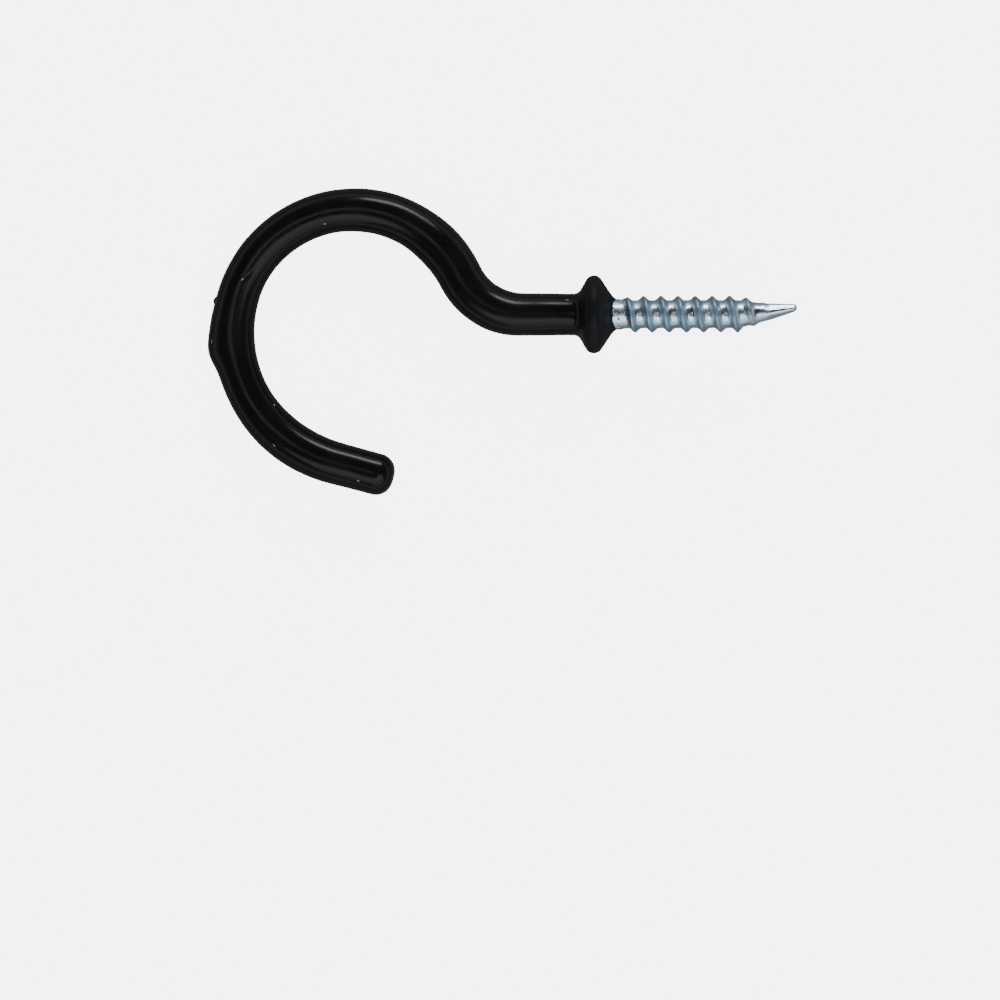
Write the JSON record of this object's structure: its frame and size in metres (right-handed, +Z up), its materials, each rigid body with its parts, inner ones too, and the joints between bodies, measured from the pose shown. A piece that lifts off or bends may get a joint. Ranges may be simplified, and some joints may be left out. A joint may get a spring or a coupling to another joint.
{
  "type": "screw hook",
  "caption": "Round screw hook bent from steel wire, with a collar and a wood-screw thread, its hook end dipped in black vinyl; for hanging cups or tools.",
  "frame": {"origin": "middle of the footprint, on the surface that the hook lies on", "axes": "+X along the screw towards its point, which tips up by 2.8 degrees as the hook lies on its collar and loop; +Y across the hook from the open lip towards the crown of the loop; +Z up"},
  "size_m": [0.073, 0.0382, 0.0097],
  "materials": {
    "zinc_plated_steel": "bright zinc plate with a bluish tint, lightly scuffed on the thread",
    "black_vinyl": "glossy dipped vinyl, slightly uneven, with a hardened run and small nicks"
  },
  "bodies": {
    "root": {"steel_hook": "zinc_plated_steel", "vinyl_coat": "black_vinyl"}
  },
  "joints": []
}
